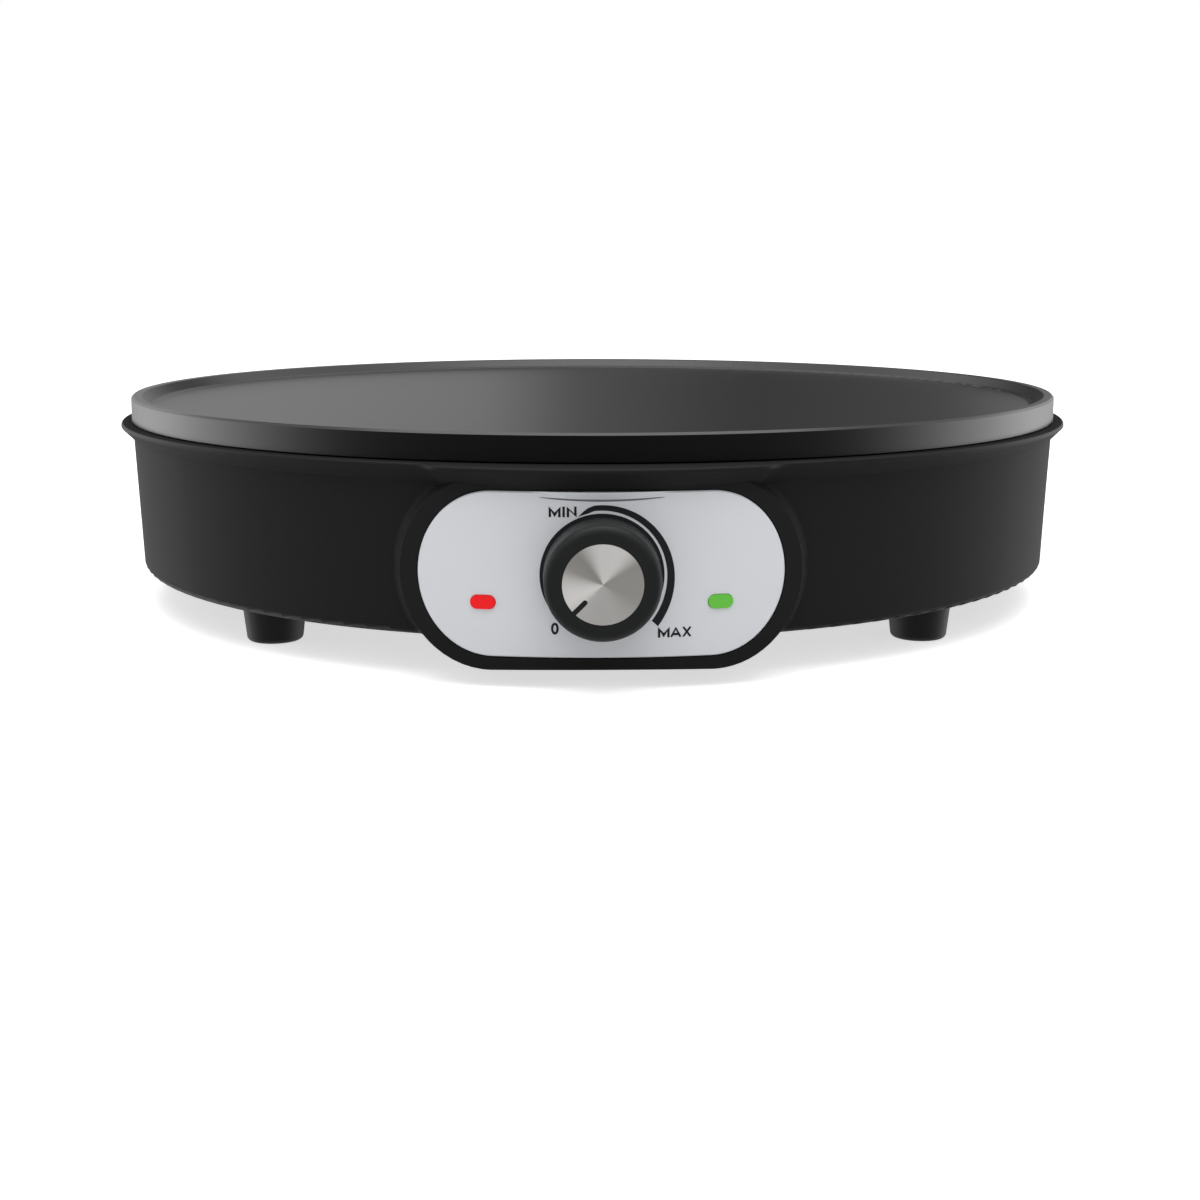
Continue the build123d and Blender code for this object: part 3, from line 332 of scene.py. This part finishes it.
def heat_wedge():
    """The scale's band about the knob: it starts as a point at MIN, widens and moves outwards to MAX.

    With s from 0 to 1 along it, its middle is 18.45 + 1.15 s^5 mm from the axis, less 1.2 mm that fade out
    by s = 0.1, and its width is 1.35 + 0.95 s mm, which grows from nothing up to s = 1/16."""
    turns = np.radians(np.linspace(112, -43, 90))
    count = len(turns)
    share = np.linspace(0, 1, count)
    middle = (18.45 + 1.15 * share**5 - 1.2 * np.clip(1 - share * 10, 0, 1)) * MM
    width = (1.35 + 0.95 * share) * np.clip(share * 16, 0, 1) * MM
    radius = np.concatenate([middle - width / 2, middle + width / 2])
    turns = np.tile(turns, 2)
    points = on_panel(radius * np.cos(turns), radius * np.sin(turns))
    return surface("dial_band", points, band_faces(0, count, count), dial_ink_and_shade, "base")


def knob_shade_ring():
    """A black ring painted round the foot of the knob as painted shade in the gap between knob and panel; it
    shows as a dark outline above the knob.

    It goes from 0.6 mm inside the knob's edge to 0.9 mm outside it."""
    low, high = (Vector(corner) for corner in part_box("knob"))
    knob_radius = (high.x - low.x) / 2
    turns = np.linspace(0, 2 * np.pi, 121)
    count = len(turns)
    radius = np.repeat([knob_radius - 0.6 * MM, knob_radius + 0.9 * MM], count)
    turns = np.tile(turns, 2)
    points = on_panel(radius * np.cos(turns), radius * np.sin(turns))
    # Painted shade: the dark ink stands in for the shadow round the knob's foot.
    return surface("painted_knob_shade", points, band_faces(count, 0, count), dial_ink_and_shade, "base")


def visor_shadow_line():
    """A painted shadow under the visor: a flat arc that runs out at both ends.

    With s = 1 - x^2 / 17^2, it lies 1.5 + 0.85 s mm below the panel's top and is 0.55 s^0.5 mm high."""
    half_length = 17
    across = np.linspace(-half_length, half_length, 81)
    count = len(across)
    share = 1 - (across / half_length) ** 2
    middle = (panel_high.z - dial_height) / MM - 1.5 - 0.85 * share
    width = 0.55 * np.sqrt(share)
    up = np.concatenate([middle - width / 2, middle + width / 2])
    points = on_panel(np.tile(across, 2) * MM, up * MM)
    return surface("visor_shadow_line", points, band_faces(0, count, count), painted_visor_shadow, "base")


def stroke(points, width, height):
    """A band of this width along a bent line, with mitred corners, cut off level at 0 and at this height.

    At each point it goes out along the mean normal of its two spans, by half the width over the cosine
    between that normal and a span's own."""
    line = np.array(points, dtype=float)
    steps = np.diff(line, axis=0)
    steps /= np.linalg.norm(steps, axis=1)[:, None]
    before = np.vstack([steps[:1], steps])
    after = np.vstack([steps, steps[-1:]])
    normals = np.stack([-before[:, 1] - after[:, 1], before[:, 0] + after[:, 0]], axis=-1)
    normals /= np.linalg.norm(normals, axis=1)[:, None]
    reach = width / 2 / (normals * np.stack([-before[:, 1], before[:, 0]], axis=-1)).sum(axis=1)
    sides = np.vstack([line + normals * reach[:, None], line - normals * reach[:, None]])
    sides[:, 1] = np.clip(sides[:, 1], 0, height)
    return sides, band_faces(len(line), 0, len(line))


def letter(sign, width, height):
    """The strokes of a plain capital or of the figure 0, as bent lines.

    Their points are measured from its lower left corner. A capital's width is that between the middles of
    its outer strokes, and the figure's width is that over all."""
    half = width / 2
    if sign == "0":
        turns = np.linspace(0, 2 * np.pi, 33)
        across = half + (half - pen / 2) * np.sin(turns)
        up = height / 2 + (height / 2 - pen / 2) * np.cos(turns)
        return [np.stack([across, up], axis=-1)]
    bar = 0.3 * height
    return {
        "M": [[(0, 0), (0, height), (half, 0.2 * height), (width, height), (width, 0)]],
        "I": [[(half, 0), (half, height)]],
        "N": [[(0, 0), (0, height), (width, 0), (width, height)]],
        "A": [[(0, 0), (half, height), (width, 0)], [(0.2 * width, bar), (0.8 * width, bar)]],
        "X": [[(0, 0), (width, height)], [(0, height), (width, 0)]],
    }[sign]


def dial_word(name, text, across, up, height, widths, spacing=0.0):
    """A printed word of this cap height, centred at this place on the panel, with its letters' widths."""
    start = across - (sum(widths) + spacing * (len(text) - 1)) / 2
    points, faces = [], []
    for sign, width in zip(text, widths):
        for line in letter(sign, width, height):
            sides, quads = stroke(line, pen, height)
            count = sum(len(part) for part in points)
            points.append(sides + (start, up - height / 2))
            faces += [tuple(count + corner for corner in quad) for quad in quads]
        start += width + spacing
    flat = np.vstack(points)
    return surface(name, on_panel(flat[:, 0], flat[:, 1]), faces, dial_ink_and_shade, "base")


heat_wedge()
knob_shade_ring()
visor_shadow_line()
# The words' heights are measured down from the cooking surface.
dial_word("dial_min", "MIN", -10.6 * MM, -17.5 * MM - dial_height, capital, (wide, thin, narrow), 1.1 * MM)
dial_word("dial_max", "MAX", 19.8 * MM, -50.7 * MM - dial_height, capital, (wide, wide, narrow), 0.75 * MM)
dial_word("dial_off", "0", -12.8 * MM, -49.5 * MM - dial_height, figure, (figure_width,))


# ---- Floor, light and camera
def studio_floor():
    """White floor: it shows as white away from the object and keeps the object's shadow."""
    half_size, camera_glow = 3.0, 0.64
    drop = cad_box[0][2]
    square = np.array([(-1, -1), (1, -1), (1, 1), (-1, 1)]) * half_size
    made, tree = empty_material("studio_floor")
    floor = mesh_object("floor", np.c_[square, np.full(4, drop)], [(0, 1, 2, 3)], made)
    matte = add_node(tree, "ShaderNodeBsdfDiffuse", values={"Color": linear("#E4E4E4")})
    glow = add_node(tree, "ShaderNodeEmission", values={"Strength": camera_glow})
    none = add_node(tree, "ShaderNodeEmission", values={"Strength": 0.0})
    ray = add_node(tree, "ShaderNodeLightPath")
    seen = add_node(tree, "ShaderNodeMath",
                    {0: ray.outputs["Is Camera Ray"], 1: ray.outputs["Is Transmission Ray"]},
                    operation="MAXIMUM")
    lit = add_node(tree, "ShaderNodeMixShader",
                   {0: seen.outputs[0], 1: none.outputs[0], 2: glow.outputs[0]})
    both = add_node(tree, "ShaderNodeAddShader", {0: matte.outputs[0], 1: lit.outputs[0]})
    add_node(tree, "ShaderNodeOutputMaterial", {"Surface": both.outputs[0]})
    floor.visible_glossy = False


def studio_world():
    """White for the camera, reflections and glass; a plain grey for the light that falls on the object."""
    white_level, light_level = 1.0, 0.55
    world = bpy.data.worlds.new("studio")
    scene.world = world
    world.use_nodes = True
    tree = world.node_tree
    tree.nodes.clear()
    ray = add_node(tree, "ShaderNodeLightPath")
    direct = add_node(tree, "ShaderNodeMath",
                      {0: ray.outputs["Is Camera Ray"], 1: ray.outputs["Is Transmission Ray"]},
                      operation="MAXIMUM")
    seen = add_node(tree, "ShaderNodeMath", {0: direct.outputs[0], 1: ray.outputs["Is Glossy Ray"]},
                    operation="MAXIMUM")
    white = add_node(tree, "ShaderNodeBackground", values={"Color": (1, 1, 1, 1), "Strength": white_level})
    grey = add_node(tree, "ShaderNodeBackground", values={"Color": (1, 1, 1, 1), "Strength": light_level})
    either = add_node(tree, "ShaderNodeMixShader",
                      {0: seen.outputs[0], 1: grey.outputs[0], 2: white.outputs[0]})
    add_node(tree, "ShaderNodeOutputWorld", {"Surface": either.outputs[0]})


def softbox(name, place, aim, width, height, watts):
    """A rectangular area lamp at place, turned to aim."""
    lamp = bpy.data.lights.new(name, "AREA")
    lamp.shape = "RECTANGLE"
    lamp.size = width
    lamp.size_y = height
    lamp.energy = watts
    box = bpy.data.objects.new(name, lamp)
    scene.collection.objects.link(box)
    box.location = place
    box.rotation_euler = (Vector(aim) - Vector(place)).to_track_quat("-Z", "Y").to_euler()


def screen_tones():
    """How bright the screen is all round, as degrees from -Y towards +X and the level there.

    It is dark in front of the object and behind it, bright at both sides, and lighter at the back's left."""
    side = [(45, 0.12), (60, 0.35), (75, 1.35), (91, 2.5), (113, 2.6), (134, 1.4), (144, 0.85)]
    back_left = [(-180, 0.15), (-176, 0.42), (-165, 0.5), (-154, 0.55)]
    back_right = [(153, 0.6), (158, 0.4), (163, 0.1), (172, 0.05), (180, 0.15)]
    return back_left + [(-turn, level) for turn, level in reversed(side)] + [(0, 0.06)] + side + back_right


def studio_screen():
    """A round screen that only reflections see, with screen_tones around it.

    It is a cylinder about the Z axis, of radius 1.5 m, from z = -1 up to z = 0.6 - 0.3 cos t, with t the
    turn from -Y, so it is lower in front."""
    radius, foot, count, brightest = 1.5, -1.0, 96, 3.0
    turns = np.linspace(0, 2 * np.pi, count, endpoint=False)
    ring = np.stack([radius * np.sin(turns), -radius * np.cos(turns)], axis=-1)
    points = np.concatenate([np.c_[ring, np.full(count, foot)], np.c_[ring, 0.6 - 0.3 * np.cos(turns)]])
    faces = [(k, (k + 1) % count, count + (k + 1) % count, count + k) for k in range(count)]
    made, tree = empty_material("studio_screen")
    screen = mesh_object("studio_screen", points, faces, made)
    place = add_node(tree, "ShaderNodeTexCoord").outputs["Object"]
    sides = add_node(tree, "ShaderNodeSeparateXYZ", {0: place})
    ahead = add_node(tree, "ShaderNodeMath", {0: sides.outputs["Y"]}, {1: -1.0}, operation="MULTIPLY")
    turn = add_node(tree, "ShaderNodeMath", {0: sides.outputs["X"], 1: ahead.outputs[0]}, operation="ARCTAN2")
    share = add_node(tree, "ShaderNodeMapRange", {"Value": turn.outputs[0]},
                     span(-math.pi, math.pi, 0.0, 1.0))
    tone = add_node(tree, "ShaderNodeFloatCurve", {"Value": share.outputs["Result"]})
    curve = tone.mapping.curves[0]
    steps = [((degrees + 180) / 360, level / brightest) for degrees, level in screen_tones()]
    curve.points[0].location = steps[0]
    curve.points[1].location = steps[-1]
    for step in steps[1:-1]:
        curve.points.new(*step)
    for point in curve.points:
        point.handle_type = "VECTOR"
    tone.mapping.update()
    strength = add_node(tree, "ShaderNodeMath", {0: tone.outputs[0]}, {1: brightest}, operation="MULTIPLY")
    glow = add_node(tree, "ShaderNodeEmission", {"Strength": strength.outputs[0]})
    add_node(tree, "ShaderNodeOutputMaterial", {"Surface": glow.outputs[0]})
    screen.visible_camera = False
    screen.visible_diffuse = False
    screen.visible_transmission = False
    screen.visible_shadow = False


def place_camera():
    """A 54 mm lens on a 36 mm frame, a little above the plate and turned slightly down and to the right."""
    focal_pixels, frame_pixels, shift_pixels = 1786.3, 1200.0, -86.0
    pitch, turn = math.radians(8.54), math.radians(1.08)
    distance, aside, height = 0.63878, 0.00254, 0.05309
    lens = bpy.data.cameras.new("camera")
    lens.sensor_width = 36.0
    lens.sensor_height = 36.0
    lens.sensor_fit = "HORIZONTAL"
    lens.lens = focal_pixels / frame_pixels * lens.sensor_width
    lens.shift_y = shift_pixels / frame_pixels
    lens.clip_start = 0.01
    camera = bpy.data.objects.new("camera", lens)
    scene.collection.objects.link(camera)
    side = Vector((math.cos(turn), -math.sin(turn), 0))
    ahead = Vector((math.sin(turn), math.cos(turn), 0))
    camera.location = -ahead * distance + side * aside + Vector((0, 0, height))
    camera.rotation_euler = (math.pi / 2 - pitch, 0, -turn)
    scene.camera = camera


studio_floor()
studio_world()
studio_screen()
softbox("overhead", place=(0, -0.3, 1.6), aim=(0, 0, 0), width=2.0, height=2.0, watts=30)
place_camera()

scene.view_settings.view_transform = "Standard"
